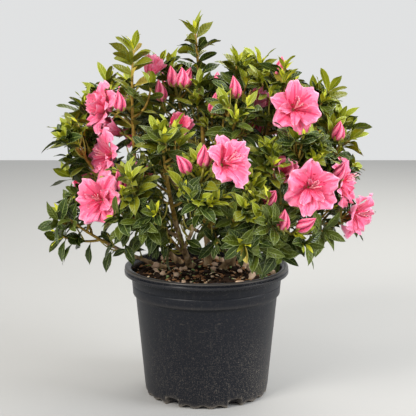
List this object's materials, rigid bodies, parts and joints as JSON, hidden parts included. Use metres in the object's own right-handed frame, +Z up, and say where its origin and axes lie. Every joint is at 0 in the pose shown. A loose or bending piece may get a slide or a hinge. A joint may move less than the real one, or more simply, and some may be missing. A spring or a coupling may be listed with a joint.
{
  "type": "azalea shrub in a nursery pot",
  "caption": "Evergreen azalea in bloom: slender stems rise from a round black grower's pot and branch into a dense leafy dome with pink semi-double flowers and buds.",
  "frame": {"origin": "centre of the pot's flat underside, where it stands", "axes": "+Z up along the pot's axis, -Y towards the plant's front, +X to the right seen from the front"},
  "size_m": [0.5712, 0.5218, 0.6404],
  "materials": {
    "pot": "matt black moulded plastic with dust",
    "soil": "dark composted bark mix",
    "bark": "thin grey-brown bark",
    "foliage": "glossy dark green leaves"
  },
  "bodies": {
    "root": {"bough_back_left": "bark", "bough_back_left_low": "bark", "bough_back_low": "bark", "bough_back_right": "bark", "bough_back_right_low": "bark", "bough_front": "bark", "bough_front_left_low": "bark", "bough_front_low": "bark", "bough_front_top": "bark", "bough_inner_front": "bark", "bough_inner_left": "bark", "bough_left_back": "bark", "bough_mid_top": "bark", "bough_rear_left_top": "bark", "bough_rear_right_top": "bark", "bough_right": "bark", "bough_right_back": "bark", "bough_right_back_low": "bark", "bough_right_front": "bark", "bough_right_low": "bark", "bough_right_outer": "bark", "bough_top_left": "bark", "foliage_back": "foliage", "foliage_back_left": "foliage", "foliage_back_left_low": "foliage", "foliage_back_low": "foliage", "foliage_back_right": "foliage", "foliage_back_right_low": "foliage", "foliage_front": "foliage", "foliage_front_left": "foliage", "foliage_front_left_low": "foliage", "foliage_front_low": "foliage", "foliage_front_right": "foliage", "foliage_front_top": "foliage", "foliage_inner_front": "foliage", "foliage_inner_left": "foliage", "foliage_left": "foliage", "foliage_left_back": "foliage", "foliage_left_low": "foliage", "foliage_mid_top": "foliage", "foliage_rear_left_top": "foliage", "foliage_rear_right_top": "foliage", "foliage_right": "foliage", "foliage_right_back": "foliage", "foliage_right_back_low": "foliage", "foliage_right_front": "foliage", "foliage_right_low": "foliage", "foliage_right_outer": "foliage", "foliage_top": "foliage", "foliage_top_left": "foliage", "foliage_top_right": "foliage", "pot": "pot", "soil": "soil", "stem_back": "bark", "stem_front_left": "bark", "stem_front_right": "bark", "stem_left": "bark", "stem_left_low": "bark", "stem_top": "bark", "stem_top_right": "bark"}
  },
  "joints": []
}
